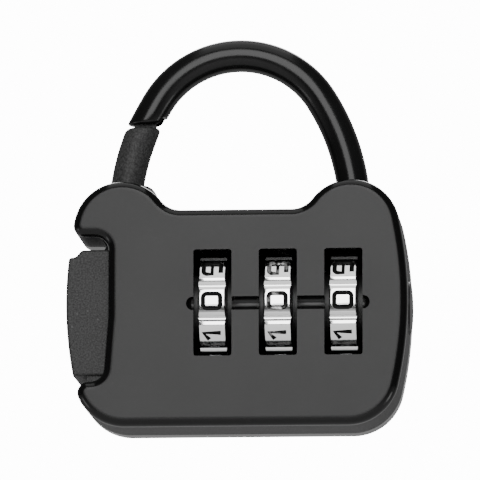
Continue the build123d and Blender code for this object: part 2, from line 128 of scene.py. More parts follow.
class Graph:
    """A node tree, of a material or of the world."""

    def __init__(self, owner: bpy.types.Material | bpy.types.World) -> None:
        """Empties the owner's node tree."""
        owner.use_nodes = True
        self.owner = owner
        self.tree = owner.node_tree
        self.tree.nodes.clear()

    def add(
        self,
        kind: str,
        settings: dict | None = None,
        inputs: dict | None = None,
        output: int | str = 0,
    ) -> Value | None:
        """Adds a node.

        Args:
            kind: the node's type.
            settings: its properties, which are set first.
            inputs: values or links for its sockets, by name or number.
            output: which of its outputs to return.

        Returns:
            The chosen output, or None where the node has none.
        """
        node = self.tree.nodes.new(kind)
        for key, value in (settings or {}).items():
            setattr(node, key, value)
        for key, value in (inputs or {}).items():
            if isinstance(value, Value):
                self.tree.links.new(value.socket, node.inputs[key])
            else:
                node.inputs[key].default_value = value
        return Value(self, node.outputs[output]) if node.outputs else None

    def place(self) -> Value:
        """Position on the piece, in metres."""
        return self.add("ShaderNodeTexCoord", output="Object")

    def along(self, axis: str) -> Value:
        """One coordinate of the position, in millimetres."""
        split = self.add("ShaderNodeSeparateXYZ", None, {0: self.place()}, axis)
        return split * (1 / MM)

    def noise(self, size: float, detail: float = 2.0, stretch: Sequence[float] = (1, 1, 1)) -> Value:
        """Smooth noise, about 0.5 on average.

        Args:
            size: the size of its lumps.
            detail: octaves of finer noise.
            stretch: how many times longer the lumps are along X, Y and Z.

        Returns:
            The noise.
        """
        scale = tuple(1 / s for s in stretch)
        where = self.add("ShaderNodeMapping", None, {"Vector": self.place(), "Scale": scale})
        inputs = {"Vector": where, "Scale": 1 / (size * MM), "Detail": detail}
        return self.add("ShaderNodeTexNoise", None, inputs)

    def specks(self, spacing: float, radius: float, share: float) -> Value:
        """Scattered small dots.

        Args:
            spacing: about how far apart the possible places are.
            radius: the dots' size, as a share of the spacing.
            share: how many of the places have a dot, from 0 to 1.

        Returns:
            1 on a dot and 0 elsewhere.
        """
        inputs = {"Vector": self.place(), "Scale": 1 / (spacing * MM)}
        far = self.add("ShaderNodeTexVoronoi", None, inputs, "Distance")
        tint = self.add("ShaderNodeTexVoronoi", None, inputs, "Color")
        pick = self.add("ShaderNodeSeparateColor", None, {0: tint}, 0)
        return far.ramp(radius, radius * 0.5) * pick.ramp(1 - share, 1 - share + 0.02)

    def blend(self, share: Value, low: Sequence[float], high: Sequence[float]) -> Value:
        """Mixes two colours.

        Args:
            share: 0 for the low colour and 1 for the high one.
            low: the first colour, as red, green and blue.
            high: the second colour.

        Returns:
            The mixed colour.
        """
        inputs = {0: share, 6: (*low, 1.0), 7: (*high, 1.0)}
        return self.add("ShaderNodeMix", {"data_type": "RGBA"}, inputs, 2)

    def bump(self, height: Value, depth: float) -> Value:
        """A surface normal, from a height of 0 to 1 that stands for depth."""
        inputs = {"Height": height, "Distance": depth * MM, "Strength": 1.0}
        return self.add("ShaderNodeBump", None, inputs)

    def surface(self, **inputs: Value | float | Sequence[float]) -> bpy.types.Material:
        """Closes the material.

        Args:
            inputs: the shader's sockets, with underscores for spaces.

        Returns:
            The material.
        """
        named = {key.replace("_", " "): value for key, value in inputs.items()}
        shader = self.add("ShaderNodeBsdfPrincipled", None, named)
        self.add("ShaderNodeOutputMaterial", None, {"Surface": shader})
        return self.owner


def grey(level: float) -> tuple[float, float, float]:
    """A neutral colour."""
    return (level, level, level)


# --- finishes


@dataclass(frozen=True)
class Coat:
    """What every finish has.

    Args:
        name: the material's name.
        dark: its darker colour.
        light: its lighter colour.
        rough: average roughness.
        grain: size of its fine grain.
        depth: height of that grain.
        patch: size of its broad patches.
        dust: spacing, radius and share of its specks of dust or pits.
        shine: strength of its reflections.
    """

    name: str
    dark: float | Sequence[float] = 0.003
    light: float | Sequence[float] = 0.018
    rough: float = 0.2
    grain: float = 0.2
    depth: float = 0.004
    patch: float = 2.4
    dust: Sequence[float] = (0.6, 0.25, 0.12)
    shine: float = 0.22


@dataclass(frozen=True)
class Enamel(Coat):
    """Black enamel on a cast part: glossy on its edges, and blasted satin on the flat front.

    Args:
        satin: roughness of the blasted front.
        matt: roughness of the front shell's side walls.
        peel: size of the gentle waves in it.
        front: depths (Y) between which the front's blasting fades in, forwards.
        wall: depths between which the side walls' roughness fades in, and out again.
        groove: middle (X), half length and height (Z) of the index groove's blasted bed.
        bed: depths between which that bed's blasting fades in.
        bed_edge: how far above and below its middle that bed's blasting fades out.
    """

    rough: float = 0.14
    grain: float = 0.16
    depth: float = 0.0035
    patch: float = 9.0
    dust: Sequence[float] = (0.55, 0.22, 0.10)
    satin: float = 0.42
    matt: float = 0.5
    peel: float = 1.4
    front: Pair = (-6.62, -6.698)
    wall: Sequence[float] = (-5.7, -5.3, 2.1, 2.3)
    groove: Sequence[float] = (4.9, 10.0, 14.3)
    bed: Pair = (-5.85, -6.0)
    bed_edge: Pair = (0.42, 0.3)

    def material(self) -> bpy.types.Material:
        """Builds the material."""
        g = Graph(bpy.data.materials.new(self.name))
        cloud = g.noise(self.patch, 3.0)
        fine = g.noise(self.grain)
        dust = g.specks(*self.dust)
        deep = g.along("Y")
        middle, half, up = self.groove
        groove = (g.along("X") - middle).size().ramp(half + 0.2, half)
        groove = groove * (g.along("Z") - up).size().ramp(*self.bed_edge) * deep.ramp(*self.bed)
        face = deep.ramp(*self.front).either(groove)
        wall = deep.ramp(*self.wall[:2]) * deep.ramp(*self.wall[:1:-1])
        satin = self.satin - self.rough + 0.10 * (cloud - 0.5) + 0.10 * (fine - 0.5)
        matt = self.matt - self.rough + 0.3 * (fine - 0.5)
        height = fine * (0.35 + 0.65 * face.either(wall)) + g.noise(self.peel) * 0.6
        share = face * (0.82 + 0.30 * cloud) + dust * 0.25
        return g.surface(
            Base_Color=g.blend(share, grey(self.dark), grey(self.light)),
            Roughness=self.rough + face * satin + wall * matt - dust * 0.06,
            Normal=g.bump(height, self.depth),
            Specular_IOR_Level=self.shine,
        )


@dataclass(frozen=True)
class SandedPaint(Coat):
    """Thick matt paint with a sandy grain, with painted shade in the grain's hollows and painted light
    on its tops.
    """

    dark: float = 0.012
    light: float = 0.042
    rough: float = 0.55
    depth: float = 0.016
    patch: float = 2.2

    def material(self) -> bpy.types.Material:
        """Builds the material."""
        g = Graph(bpy.data.materials.new(self.name))
        fine = g.noise(self.grain, 3.0)
        wide = g.noise(self.patch)
        dust = g.specks(*self.dust)
        # Painted shade and light: the colour follows the grain's height, darker in its hollows and
        # lighter on its tops; the specks are dust.
        share = fine.ramp(0.30, 0.72) * (0.55 + 0.6 * wide) + dust * 0.8
        return g.surface(
            Base_Color=g.blend(share, grey(self.dark), grey(self.light)),
            Roughness=self.rough + 0.2 * (wide - 0.5) - 0.15 * dust,
            Normal=g.bump(fine + 0.5 * wide, self.depth),
            Specular_IOR_Level=self.shine,
        )


@dataclass(frozen=True)
class DippedPaint(Coat):
    """Smooth black paint on the bent bar, a little uneven where it ran.

    Args:
        run: how many times longer the runs are than they are wide.
    """

    light: float = 0.0075
    grain: float = 0.22
    depth: float = 0.010
    patch: float = 2.6
    dust: Sequence[float] = (0.9, 0.16, 0.08)
    run: float = 2.5

    def material(self) -> bpy.types.Material:
        """Builds the material."""
        g = Graph(bpy.data.materials.new(self.name))
        runs = g.noise(self.patch, stretch=(1, 1, self.run))
        fine = g.noise(self.grain)
        dust = g.specks(*self.dust)
        return g.surface(
            Base_Color=g.blend(runs * 0.5 + dust * 0.5, grey(self.dark), grey(self.light)),
            Roughness=self.rough + 0.10 * (runs - 0.5) + 0.06 * (fine - 0.5) + 0.12 * dust,
            Normal=g.bump(runs * 0.8 + fine * 0.2, self.depth),
            Specular_IOR_Level=self.shine,
        )


@dataclass(frozen=True)
class Plating(Coat):
    """Bare or plated metal with fine marks of its making.

    Args:
        swing: how far the roughness varies.
    """

    grain: float = 0.35
    depth: float = 0.003
    dust: Sequence[float] = (0.45, 0.2, 0.10)
    swing: float = 0.2

    def material(self) -> bpy.types.Material:
        """Builds the material."""
        g = Graph(bpy.data.materials.new(self.name))
        marks = g.noise(self.grain, 3.0)
        wide = g.noise(self.patch)
        pits = g.specks(*self.dust)
        return g.surface(
            Base_Color=g.blend(wide.ramp(0.42, 0.8) + pits * 0.4, self.light, self.dark),
            Metallic=1.0,
            Roughness=self.rough + self.swing * (marks - 0.5) + 0.08 * pits,
            Normal=g.bump(marks + 0.8 * wide, self.depth),
        )


@dataclass(frozen=True)
class Ink(Coat):
    """Matt black filling of the engraved numbers, rubbed thin in places.

    Args:
        worn: how much of the metal shows through, from 0 to 1.
    """

    light: float = 0.42
    rough: float = 0.5
    grain: float = 0.15
    patch: float = 0.7
    shine: float = 0.1
    worn: float = 0.0

    def material(self) -> bpy.types.Material:
        """Builds the material."""
        g = Graph(bpy.data.materials.new(self.name))
        rub = g.noise(self.patch).ramp(0.78 - 0.45 * self.worn, 0.88 - 0.30 * self.worn)
        share = rub * (0.4 + 0.6 * self.worn)
        return g.surface(
            Base_Color=g.blend(share, grey(self.dark), grey(self.light)),
            Metallic=share,
            Roughness=self.rough - 0.2 * share,
            Normal=g.bump(g.noise(self.grain), self.depth),
            Specular_IOR_Level=self.shine,
        )


class Finish(Enum):
    """Every finish on the lock."""

    SHELL = Enamel("shell_enamel")
    PAD = SandedPaint("pad_paint", 0.004, 0.012, 0.42, 0.5, 0.010)
    GATE = SandedPaint("gate_paint")
    BAR = DippedPaint("bar_paint")
    CHROME = Plating("wheel_chrome", (0.42, 0.42, 0.43), (0.74, 0.74, 0.75), 0.33, swing=0.14)
    INK = Ink("number_ink")
    WORN_INK = Ink("number_ink_worn", worn=0.75)
    BRASS = Plating("sleeve_brass", (0.30, 0.18, 0.07), (0.62, 0.42, 0.16), 0.30)
    STEEL = Plating("spring_steel", (0.20, 0.20, 0.21), (0.52, 0.52, 0.53), 0.28, 0.2)
    # Black on the inner frame, and painted shade on the wheels' chrome sides and hubs.
    FRAME = Plating("frame_black", (0.02, 0.02, 0.02), (0.05, 0.05, 0.052), 0.42, 0.3)
    RIVET = SandedPaint("rivet_paint", 0.012, 0.035, 0.4, 0.3, 0.006)
    FLOOR = SandedPaint("floor_paper", 0.78, 0.82, 0.9, 3.0, 0.02)

    def made(self) -> bpy.types.Material:
        """The finish's material, built once."""
        return bpy.data.materials.get(self.value.name) or self.value.material()


# --- shaping


def placed(name: str, data: bpy.types.ID) -> bpy.types.Object:
    """Makes an object and puts it in the scene."""
    made = bpy.data.objects.new(name, data)
    bpy.context.scene.collection.objects.link(made)
    return made


def baked(thing: bpy.types.Object) -> bpy.types.Mesh:
    """The object's mesh with its modifiers applied."""
    graph = bpy.context.evaluated_depsgraph_get()
    return bpy.data.meshes.new_from_object(thing.evaluated_get(graph))


class Outline:
    """A flat closed outline in X and Z, drawn with straight lines and arcs."""

    def __init__(self, x: float, z: float, step: float = 0.35) -> None:
        """Starts at a point.

        Args:
            x: where it starts, across.
            z: where it starts, up.
            step: the longest side of an arc's facets.
        """
        self.bm = bmesh.new()
        self.step = step
        self.tip = self.bm.verts.new((x, 0, z))

    def line(self, *points: Pair) -> Outline:
        """Draws straight sides.

        Args:
            points: where each side ends, in turn.

        Returns:
            This outline.
        """
        for x, z in points:
            grown = bmesh.ops.extrude_vert_indiv(self.bm, verts=[self.tip])
            self.tip = grown["verts"][0]
            self.tip.co = (x, 0, z)
        return self

    def arc(self, centre: Pair, degrees: float) -> Outline:
        """Draws an arc on from the last point.

        Args:
            centre: the arc's centre.
            degrees: its sweep, anticlockwise where positive.

        Returns:
            This outline.
        """
        middle = Vector((centre[0], 0, centre[1]))
        sweep = math.radians(degrees)
        steps = max(3, math.ceil((self.tip.co - middle).length * abs(sweep) / self.step))
        spun = bmesh.ops.spin(
            self.bm, geom=[self.tip], cent=middle, axis=(0, -1, 0), angle=sweep, steps=steps
        )
        self.tip = next(e for e in spun["geom_last"] if isinstance(e, bmesh.types.BMVert))
        return self

    def slab(self, y0: float, y1: float) -> Solid:
        """Closes the outline and gives it depth.

        Args:
            y0: depth of its front.
            y1: depth of its back.

        Returns:
            The solid.
        """
        bmesh.ops.remove_doubles(self.bm, verts=self.bm.verts, dist=WELD)
        ends = [v for v in self.bm.verts if len(v.link_edges) == 1]
        if ends:
            bmesh.ops.contextual_create(self.bm, geom=ends)
        bmesh.ops.contextual_create(self.bm, geom=self.bm.edges)
        bmesh.ops.translate(self.bm, verts=self.bm.verts, vec=(0, y0, 0))
        grown = bmesh.ops.extrude_face_region(self.bm, geom=self.bm.faces)
        moved = [e for e in grown["geom"] if isinstance(e, bmesh.types.BMVert)]
        bmesh.ops.translate(self.bm, verts=moved, vec=(0, y1 - y0, 0))
        return Solid(self.bm)


class Solid:
    """A closed mesh that is being shaped."""

    def __init__(self, bm: bmesh.types.BMesh, *finishes: Finish) -> None:
        """Takes over a mesh, and turns its faces outwards."""
        self.bm = bm
        self.finishes = [finish.made() for finish in finishes]
        self.face_outwards()

    def face_outwards(self) -> Solid:
        """Turns all its faces outwards."""
        bmesh.ops.recalc_face_normals(self.bm, faces=self.bm.faces)
        if self.bm.calc_volume(signed=True) < 0:
            bmesh.ops.reverse_faces(self.bm, faces=self.bm.faces)
        return self

    @classmethod
    def block(cls, x: Pair, y: Pair, z: Pair) -> Solid:
        """A box.

        Args:
            x: its lowest and highest X.
            y: its lowest and highest Y.
            z: its lowest and highest Z.

        Returns:
            The solid.
        """
        bm = bmesh.new()
        bmesh.ops.create_cube(bm, size=1.0)
        bmesh.ops.scale(bm, verts=bm.verts, vec=[b - a for a, b in (x, y, z)])
        bmesh.ops.translate(bm, verts=bm.verts, vec=[(a + b) / 2 for a, b in (x, y, z)])
        return cls(bm)

    @classmethod
    def rod(cls, start: Sequence[float], end: Sequence[float], radii: Pair, facets: int = 64) -> Solid:
        """A round bar or cone between two points.

        Args:
            start: the centre of one end.
            end: the centre of the other.
            radii: its radius at each end.
            facets: how many sides it has.

        Returns:
            The solid.
        """
        bm = bmesh.new()
        axis = Vector(end) - Vector(start)
        turn = Vector((0, 0, 1)).rotation_difference(axis).to_matrix().to_4x4()
        place = Matrix.Translation((Vector(start) + Vector(end)) / 2) @ turn
        bmesh.ops.create_cone(
            bm,
            cap_ends=True,
            segments=facets,
            radius1=radii[0],
            radius2=radii[1],
            depth=axis.length,
            matrix=place,
        )
        return cls(bm)

    @classmethod
    def capsule(cls, radius: float, x: Pair, y: float, z: float) -> Solid:
        """A bar along X with round ends.

        Args:
            radius: its radius.
            x: the centres of its two ends.
            y: its depth.
            z: its height.

        Returns:
            The solid.
        """
        bm = bmesh.new()
        turn = Matrix.Rotation(math.pi / 2, 4, "Y")
        bmesh.ops.create_uvsphere(bm, u_segments=32, v_segments=16, radius=radius, matrix=turn)
        for end, side in zip(x, (-1, 1)):
            half = [v for v in bm.verts if v.co.x * side > 1e-5 or (side > 0 and abs(v.co.x) < 1e-5)]
            bmesh.ops.translate(bm, verts=half, vec=(end, y, z))
        return cls(bm)

    def round(self, where: Test, width: float, segments: int, least: float = 25.0) -> Solid:
        """Rounds every edge whose two ends both pass a test.

        Args:
            where: the test of a point.
            width: how far the rounding reaches from the edge.
            segments: how many facets it has across.
            least: the smallest angle, in degrees, at which an edge counts as sharp.

        Returns:
            This solid.
        """
        sharp = math.radians(least)
        edges = [
            e
            for e in self.bm.edges
            if all(where(v.co) for v in e.verts) and e.calc_face_angle(0) > sharp
        ]
        bmesh.ops.bevel(
            self.bm,
            geom=edges,
            offset=width,
            offset_type="OFFSET",
            segments=segments,
            profile=0.5,
            affect="EDGES",
            material=-1,
            clamp_overlap=False,
        )
        return self

    def turned(self, angle: float, axis: str, centre: Sequence[float]) -> Solid:
        """Turns it about an axis through a centre, by degrees."""
        turn = Matrix.Rotation(math.radians(angle), 3, axis)
        bmesh.ops.rotate(self.bm, verts=self.bm.verts, cent=centre, matrix=turn)
        return self

    def moved(self, x: float = 0, y: float = 0, z: float = 0) -> Solid:
        """Moves it."""
        bmesh.ops.translate(self.bm, verts=self.bm.verts, vec=(x, y, z))
        return self

    def _helper(self, name: str) -> bpy.types.Object:
        """Makes a scene object of this mesh.

        Args:
            name: the object's name.

        Returns:
            The object, with this solid's materials.
        """
        mesh = bpy.data.meshes.new(name)
        self.bm.to_mesh(mesh)
        for material in self.finishes:
            mesh.materials.append(material)
        return placed(name, mesh)

    def _combine(self, operation: str, others: Sequence[Solid]) -> Solid:
        """Cuts, joins or trims with other solids, one after another.

        Args:
            operation: the Boolean operation.
            others: the other solids.

        Returns:
            This solid.
        """
        base = self._helper("work")
        helpers = [other._helper("tool") for other in others]
        for helper in helpers:
            modifier = base.modifiers.new("combine", "BOOLEAN")
            modifier.operation = operation
            modifier.solver = "EXACT"
            modifier.material_mode = "TRANSFER"
            modifier.object = helper
        mesh = baked(base)
        self.bm.free()
        self.bm = bmesh.new()
        self.bm.from_mesh(mesh)
        bmesh.ops.remove_doubles(self.bm, verts=self.bm.verts, dist=WELD)
        self.finishes = list(mesh.materials)
        for spare in (base, *helpers):
            bpy.data.objects.remove(spare)
        return self

    def cut(self, *others: Solid) -> Solid:
        """Takes other solids away from it."""
        return self._combine("DIFFERENCE", others)

    def join(self, *others: Solid) -> Solid:
        """Adds other solids to it."""
        return self._combine("UNION", others)

    def trim(self, *others: Solid) -> Solid:
        """Keeps what lies inside other solids."""
        return self._combine("INTERSECT", others)

    def piece(
        self,
        name: str,
        body: str,
        slot: str,
        finish: Finish | None,
        *nodes: str,
        edge: float = 0.0,
        smooth: float = 32.0,
    ) -> bpy.types.Object:
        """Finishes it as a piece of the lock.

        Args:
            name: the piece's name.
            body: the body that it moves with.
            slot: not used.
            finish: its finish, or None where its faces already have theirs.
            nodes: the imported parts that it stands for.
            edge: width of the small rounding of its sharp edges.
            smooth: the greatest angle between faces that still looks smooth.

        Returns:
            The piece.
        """
        bmesh.ops.scale(self.bm, verts=self.bm.verts, vec=(MM, MM, MM))
        for face in self.bm.faces:
            face.smooth = True
        made = self._helper(name)
        if finish is not None:
            made.data.materials.clear()
            made.data.materials.append(finish.made())
        if edge:
            soft = made.modifiers.new("edges", "BEVEL")
            soft.width = edge * MM
            soft.segments = 2
            soft.limit_method = "ANGLE"
            soft.angle_limit = math.radians(smooth)
            soft.use_clamp_overlap = True
        mesh = baked(made)
        made.modifiers.clear()
        made.data = mesh
        mesh.name = name
        mesh.set_sharp_from_angle(angle=math.radians(smooth))
        normals = made.modifiers.new("normals", "WEIGHTED_NORMAL")
        normals.keep_sharp = True
        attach(made, body)
        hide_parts(*nodes)
        LOG.info("%s: %d faces, on %s", name, len(mesh.polygons), body)
        return made


class RoundBar:
    """A round bar that grows from its foot, straight on and round bends in the X-Z plane."""

    def __init__(self, x: float, z: float, radius: float, facets: int = 56) -> None:
        """Starts with a level foot whose centre is at x and z."""
        self.bm = bmesh.new()
        foot = Matrix.Translation((x, 0, z))
        bmesh.ops.create_circle(self.bm, radius=radius, segments=facets, matrix=foot)
        self.ring = list(self.bm.edges)
        bmesh.ops.contextual_create(self.bm, geom=self.ring)

    def _grow(self) -> list[bmesh.types.BMVert]:
        """Grows one more ring, in place, and returns its points."""
        grown = bmesh.ops.extrude_edge_only(self.bm, edges=self.ring)["geom"]
        self.ring = [e for e in grown if isinstance(e, bmesh.types.BMEdge)]
        return [e for e in grown if isinstance(e, bmesh.types.BMVert)]

    def straight(self, x: float, z: float) -> RoundBar:
        """Straight on by x and z."""
        bmesh.ops.translate(self.bm, verts=self._grow(), vec=(x, 0, z))
        return self

    def start_at(self, centre: Pair, degrees: float) -> RoundBar:
        """Turns the foot before anything has grown.

        Args:
            centre: what it turns about.
            degrees: the turn, anticlockwise where positive.

        Returns:
            This bar.
        """
        turn = Matrix.Rotation(-math.radians(degrees), 3, "Y")
        place = (centre[0], 0, centre[1])
        bmesh.ops.rotate(self.bm, verts=self.bm.verts, cent=place, matrix=turn)
        return self

    def bend(self, centre: Pair, degrees: float, steps: int) -> RoundBar:
        """Grows round a bend.

        Args:
            centre: the bend's centre.
            degrees: its sweep, anticlockwise where positive.
            steps: how many rings it grows.

        Returns:
            This bar.
        """
        spun = bmesh.ops.spin(
            self.bm,
            geom=self.ring,
            cent=(centre[0], 0, centre[1]),
            axis=(0, -1, 0),
            angle=math.radians(degrees),
            steps=steps,
        )
        self.ring = [e for e in spun["geom_last"] if isinstance(e, bmesh.types.BMEdge)]
        return self

    def level(self, lean: float, z: float) -> Solid:
        """Straight on to a level end, and closed.

        Args:
            lean: the bar's lean from upright, in degrees, clockwise.
            z: height of the level end.

        Returns:
            The closed bar.
        """
        way = Vector((math.tan(math.radians(lean)), 0, 1))
        for vert in self._grow():
            vert.co += way * (z - vert.co.z)
        bmesh.ops.contextual_create(self.bm, geom=self.ring)
        return Solid(self.bm)


def flip(point: Pair) -> Pair:
    """The point's mirror image on the lock's other side."""
    return (-point[0], point[1])


def bearing(start: Pair, end: Pair) -> float:
    """Direction from one point to another, in degrees."""
    return math.degrees(math.atan2(end[1] - start[1], end[0] - start[0]))


# --- sub-assemblies


@dataclass
class Case:
    """The two shells of the body, with their openings."""

    bow: Pair = (-25.0, 14.75)  # centre of the right side, which is one arc
    bow_r: float = 45.0
    corner_r: float = 6.0
    ear_r: float = 5.7
    ear_top: float = 28.85
    shoulder_r: float = 3.0
    top: float = 25.45
    front: float = -6.7
    seam: float = 2.3
    back: float = 6.7
    plate: float = 1.3
    back_plate: float = 0.8
    wall: float = 1.4
    edge_r: float = 1.1
    notch: Pair = (5.35, 22.4)  # bottom and top of the lever's opening
    notch_x: float = -14.97  # its inner wall, upright above the bend
    notch_flare: float = 0.6  # how far that wall leans out below the bend
    notch_bend: float = 13.0
    notch_r: float = 1.6
    mouth_r: float = 1.3
    slot_x: Pair = (-15.75, -6.2)  # the slot that the gate swings in
    slot_half: float = 2.25
    window: Pair = (4.45, 12.5)
    window_z: float = 14.4
    window_r: float = 0.3
    index_x: Pair = (-5.0, 14.8)
    index_z: float = 14.3
    index_r: float = 0.8
    root_block: Pair = (9.8, 21.8)  # left side and bottom of the metal round the shackle's root
    rivet_block: Pair = (16.9, 7.0)  # left side and top of the metal round the low right rivet
    pivot_block: Pair = (-11.6, 4.4)  # right side and top of the metal round the gate's pivot
    pocket_x: Pair = (16.9, 24.0)  # the button's pocket
    guide: Pair = (-11.7, 27.9)  # the round hump behind the gate
    guide_r: float = 1.75
    guide_y: float = 4.4
    guide_edge: float = 0.3
    seam_edge: float = 0.12
    fine_edge: float = 0.07
    sink_depth: float = 0.5
    sink_radii: Pair = (0.62, 1.12)
    rivets: Sequence[Pair] = ((-17.2, 24.6), (17.2, 23.4), (17.75, 5.4), (-12.5, 2.6))

    def _points(self) -> tuple[Pair, Pair, Pair]:
        """Centres of the right side's corner, ear and shoulder arcs."""
        bow_r, (bow_x, bow_z) = self.bow_r, self.bow
        corner_x = bow_x + math.sqrt((bow_r - self.corner_r) ** 2 - (self.corner_r - bow_z) ** 2)
        ear_z = self.ear_top - self.ear_r
        ear_x = bow_x + math.sqrt((bow_r - self.ear_r) ** 2 - (ear_z - bow_z) ** 2)
        shoulder_z = self.top + self.shoulder_r
        reach = (self.ear_r + self.shoulder_r) ** 2 - (shoulder_z - ear_z) ** 2
        shoulder = (ear_x - math.sqrt(reach), shoulder_z)
        return (corner_x, self.corner_r), (ear_x, ear_z), shoulder

    def outline(self, inset: float = 0.0, notched: bool = True) -> Outline:
        """The body's outline, seen from the front.

        Args:
            inset: how far inside the outer outline it runs.
            notched: whether it has the opening for the lever.

        Returns:
            The outline.
        """
        corner, ear, shoulder = self._points()
        bow = self.bow
        rise = bearing(bow, ear) - bearing(bow, corner)
        over = bearing(ear, shoulder) - bearing(bow, ear)
        turn = bearing(shoulder, ear) + 90
        pen = Outline(0, inset)
        pen.line((corner[0], inset)).arc(corner, bearing(bow, corner) + 90)
        pen.arc(bow, rise).arc(ear, over).arc(shoulder, -turn)
        pen.line((-shoulder[0], self.top - inset)).arc(flip(shoulder), -turn).arc(flip(ear), over)
        if notched:
            self._notch(pen)
        else:
            pen.arc(flip(bow), rise)
        here = (pen.tip.co.x, pen.tip.co.z)
        return pen.arc(flip(corner), 270 - bearing(flip(corner), here) % 360)

    def _notch(self, pen: Outline) -> None:
        """Draws the left side with the lever's opening, down to the bottom corner.

        Args:
            pen: the outline, drawn as far as the top of that side.
        """
        low, high = self.notch
        mouth, inner = self.mouth_r, self.notch_r
        lean = math.degrees(math.atan2(self.notch_flare, self.notch_bend - low))
        bow, corner = flip(self.bow), flip(self._points()[0])
        upper = self._mouth(bow, self.bow_r, high + mouth)
        lower = self._mouth(corner, self.corner_r, low - mouth)
        here = bearing(bow, (pen.tip.co.x, pen.tip.co.z)) % 360
        pen.arc(bow, bearing(bow, upper) % 360 - here)
        pen.arc(upper, 270 - bearing(bow, upper) % 360)
        pen.line((self.notch_x - inner, high))
        pen.arc((self.notch_x - inner, high - inner), -90)
        pen.line((self.notch_x, self.notch_bend))
        foot_x = self.notch_x - self.notch_flare
        wall_x = foot_x + inner * math.tan(math.radians(lean))
        centre = (wall_x - inner / math.cos(math.radians(lean)), low + inner)
        swing = math.radians(-lean)
        touch = (centre[0] + inner * math.cos(swing), centre[1] + inner * math.sin(swing))
        pen.line(touch)
        pen.arc(centre, lean - 90)
        pen.line((lower[0], low))
        pen.arc(lower, bearing(corner, lower) % 360 - 90)

    def _mouth(self, centre: Pair, radius: float, z: float) -> Pair:
        """Where the lever's opening rounds into an outer arc.

        Args:
            centre: the outer arc's centre.
            radius: its radius.
            z: height of the rounding's centre.

        Returns:
            The rounding's centre.
        """
        reach = (radius - self.mouth_r) ** 2 - (z - centre[1]) ** 2
        return (centre[0] - math.sqrt(reach), z)

    def chamber(self) -> Solid:
        """The hollow inside both shells."""
        low, high = self.front + self.plate, self.back - self.back_plate
        room = self.outline(self.wall, notched=False).slab(low, high)
        deep = (low - 1, high + 1)
        return room.cut(
            Solid.block((-FAR, self.slot_x[0]), deep, (-FAR, FAR)),
            Solid.block((-FAR, FAR), deep, (self.top - self.wall, FAR)),
            Solid.block((self.root_block[0], FAR), deep, (self.root_block[1], FAR)),
            Solid.block((self.rivet_block[0], FAR), deep, (-FAR, self.rivet_block[1])),
            Solid.block((-FAR, self.pivot_block[0]), deep, (-FAR, self.pivot_block[1])),
        )

    def window_cut(self, x: float) -> Solid:
        """A wheel's window with its rounded corners, right through the front plate.

        Args:
            x: the window's middle.

        Returns:
            The cutter.
        """
        z, r = self.window_z, self.window_r
        half_x, half_z = self.window[0] / 2 - r, self.window[1] / 2 - r
        pen = Outline(x - half_x, z - half_z - r, r * 0.4)
        corners = ((half_x, -half_z), (half_x, half_z), (-half_x, half_z), (-half_x, -half_z))
        for quarter, (dx, dz) in enumerate(corners):
            turn = math.radians(90 * quarter - 90)
            pen.line((x + dx + r * math.cos(turn), z + dz + r * math.sin(turn)))
            pen.arc((x + dx, z + dz), 90)
        return pen.slab(self.front - 2, self.front + 3)

    def drum(self, x: float) -> Solid:
        """A drum of the bow's radius, whose axis stands at x."""
        return Solid.rod((x, -8, self.bow[1]), (x, 8, self.bow[1]), (self.bow_r,) * 2, 720)

    def sinks(self) -> list[Solid]:
        """Countersinks for the rivets' heads, in the back."""
        deep, out = self.back - self.sink_depth, self.back + CLEAR
        return [Solid.rod((x, deep, z), (x, out, z), self.sink_radii, 40) for x, z in self.rivets]

    def shell(self, y0: float, y1: float, rim: float) -> Solid:
        """A shell's blank, with its outer rim rounded and a fine chamfer at the seam.

        Args:
            y0: depth of its front.
            y1: depth of its back.
            rim: depth of the outer rim.

        Returns:
            The solid.
        """
        blank = self.outline().slab(y0, y1)
        blank.round(lambda p: abs(p.y - rim) < NEAR, self.edge_r, 8)
        return blank.round(lambda p: abs(p.y - self.seam) < NEAR, self.seam_edge, 1)

    def build(self, lock: Padlock) -> None:
        """Makes both shells.

        Args:
            lock: the whole lock, whose other parts pass through them.
        """
        chamber = self.chamber()
        gap = Solid.block(self.slot_x, (-self.slot_half, self.seam + 1), (self.notch[1] - 1, FAR))
        pocket = lock.button.oval(*self.pocket_x, lock.button.gap)
        windows = [self.window_cut(x) for x in lock.wheels.xs]
        groove = Solid.capsule(self.index_r, self.index_x, self.front, self.index_z)
        root = lock.shackle.bar(lock.shackle.bar_r + CLEAR)
        edge = self.fine_edge
        front = self.shell(self.front, self.seam, self.front)
        front.cut(chamber, *windows, groove, gap, root, pocket)
        front.piece("shell_front", "body", "shell_black", Finish.SHELL, "front_shell", edge=edge)
        back = self.shell(self.seam, self.back, self.back)
        x, z = self.guide
        guide = Solid.rod((x, self.seam, z), (x, self.guide_y, z), (self.guide_r,) * 2)
        guide.round(lambda p: p.y > self.guide_y - 0.1, self.guide_edge, 3)
        back.join(guide).cut(chamber, pocket, *self.sinks())
        back.piece("shell_rear", "body", "shell_black", Finish.SHELL, "rear_cover", edge=edge)


